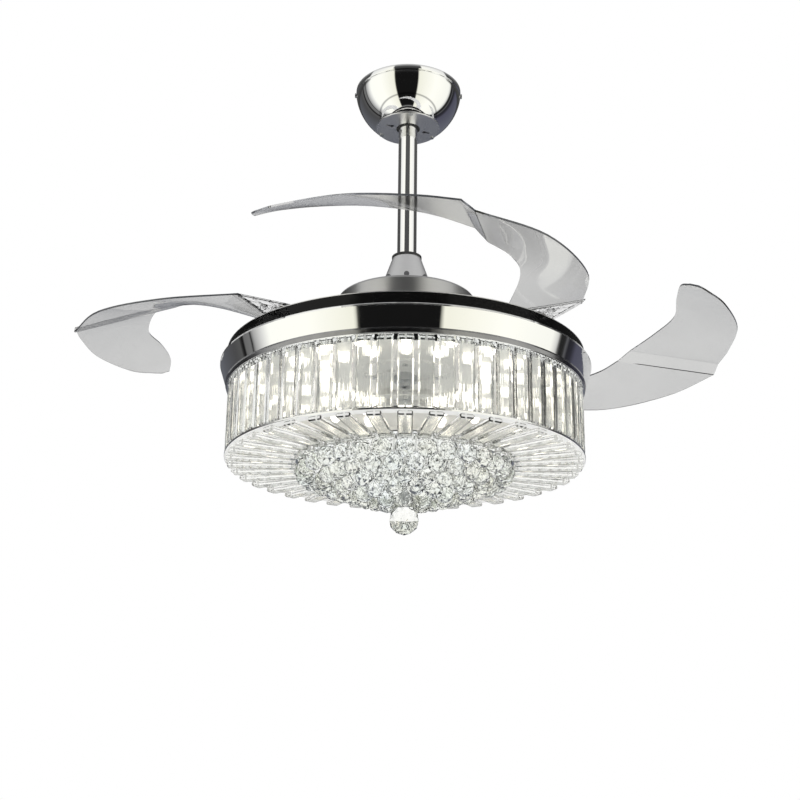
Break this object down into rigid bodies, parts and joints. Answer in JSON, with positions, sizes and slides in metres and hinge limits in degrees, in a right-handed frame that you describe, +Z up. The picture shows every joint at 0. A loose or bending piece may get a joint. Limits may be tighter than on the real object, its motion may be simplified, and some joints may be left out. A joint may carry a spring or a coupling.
{
  "type": "retractable blade ceiling fan",
  "caption": "Ceiling fan whose curved clear blades fold in over a tray, above a drum lamp of upright crystal bars with a cluster of crystal balls.",
  "frame": {"origin": "on the ceiling, in the middle of the hanging bracket's top face, on the fan's axis", "axes": "+Z up; +X along the bracket and to the right in the picture; -Y towards the viewer"},
  "size_m": [0.8874, 0.8874, 0.66],
  "materials": {
    "chrome": "mirror polish",
    "satin_metal": "satin nickel",
    "zinc_steel": "zinc plated",
    "black_gloss": "gloss black",
    "dark_metal": "satin dark grey",
    "white_metal": "satin white",
    "clear_plastic": "clear smoke grey",
    "crystal": "cut and polished",
    "white_plastic": "satin",
    "black_plastic": "satin",
    "rubber": "matte",
    "led": "lit lens",
    "board": "white solder mask",
    "iron": "oiled lamination",
    "magnet": "sintered",
    "copper": "enamelled winding",
    "bronze": "sintered bronze",
    "die_cast": "die cast"
  },
  "bodies": {
    "hanging_lamp": {"ceiling_bracket": "zinc_steel", "hanger_ball": "black_plastic", "hanger_pin": "zinc_steel", "downrod": "satin_metal", "canopy": "chrome", "canopy_disc": "satin_metal", "canopy_disc_screws": "zinc_steel", "canopy_screws": "chrome", "rod_grommet": "rubber", "receiver_box": "white_plastic", "coupling_cover": "satin_metal", "cover_grommet": "rubber", "cover_screws": "dark_metal", "motor_coupling": "zinc_steel", "coupling_pin": "zinc_steel", "coupling_set_screws": "dark_metal", "motor_shaft": "zinc_steel", "stator_core": "iron", "stator_coils": "copper", "bearing_inner_rings": "zinc_steel", "lamp_plate": "zinc_steel", "shaft_nut": "zinc_steel", "lamp_pan": "white_metal", "pan_screws": "zinc_steel", "chrome_ring": "chrome", "trim_ring": "satin_metal", "led_board": "board", "led_modules": "led", "led_driver": "white_plastic", "upper_frame": "chrome", "crystal_bars": "crystal", "crystal_screws": "zinc_steel", "bottom_ring": "chrome", "flat_rods": "crystal", "crystal_plate": "chrome", "stud_bridge": "zinc_steel", "lamp_stud": "zinc_steel", "stud_nuts": "zinc_steel", "crystal_balls": "crystal", "ball_links": "zinc_steel", "bottom_ball": "crystal", "ball_cap": "chrome"},
    "rotor": {"motor_cover": "satin_metal", "motor_base": "die_cast", "rotor_iron": "iron", "rotor_magnets": "magnet", "bearing_outer_rings": "zinc_steel", "motor_screws": "zinc_steel", "blade_tray": "black_gloss", "tray_trim": "satin_metal", "pivot_posts": "zinc_steel", "pivot_bushes": "bronze", "return_springs": "zinc_steel", "guide_rollers": "white_plastic", "blade_stops": "black_plastic"},
    "link_ring": {"sync_ring": "white_plastic"},
    "blade_1": {"blade_1": "clear_plastic"},
    "blade_2": {"blade_2": "clear_plastic"},
    "blade_3": {"blade_3": "clear_plastic"},
    "blade_4": {"blade_4": "clear_plastic"}
  },
  "joints": [
    {"name": "rotor_spin", "type": "hinge", "parent": "hanging_lamp", "child": "rotor", "pos_m": [0, 0, -0.375], "axis": [0, 0, 1], "continuous": true},
    {"name": "blade_1_fold", "type": "hinge", "parent": "rotor", "child": "blade_1", "pos_m": [0.15122, 0.16795, -0.421], "axis": [0, 0, 1], "range_deg": [-66, 0]},
    {"name": "blade_2_fold", "type": "hinge", "parent": "rotor", "child": "blade_2", "pos_m": [-0.16795, 0.15122, -0.421], "axis": [0, 0, 1], "range_deg": [-66, 0]},
    {"name": "blade_3_fold", "type": "hinge", "parent": "rotor", "child": "blade_3", "pos_m": [-0.15122, -0.16795, -0.421], "axis": [0, 0, 1], "range_deg": [-66, 0]},
    {"name": "blade_4_fold", "type": "hinge", "parent": "rotor", "child": "blade_4", "pos_m": [0.16795, -0.15122, -0.421], "axis": [0, 0, 1], "range_deg": [-66, 0]},
    {"name": "link_ring_turn", "type": "hinge", "parent": "rotor", "child": "link_ring", "pos_m": [0, 0, -0.425], "axis": [0, 0, 1], "range_deg": [0, 4.4]}
  ],
  "couplings": [
    {"joint": "blade_2_fold", "follows": "blade_1_fold", "ratio": 1},
    {"joint": "blade_3_fold", "follows": "blade_1_fold", "ratio": 1},
    {"joint": "blade_4_fold", "follows": "blade_1_fold", "ratio": 1},
    {"joint": "link_ring_turn", "follows": "blade_1_fold", "ratio": -0.066038}
  ]
}
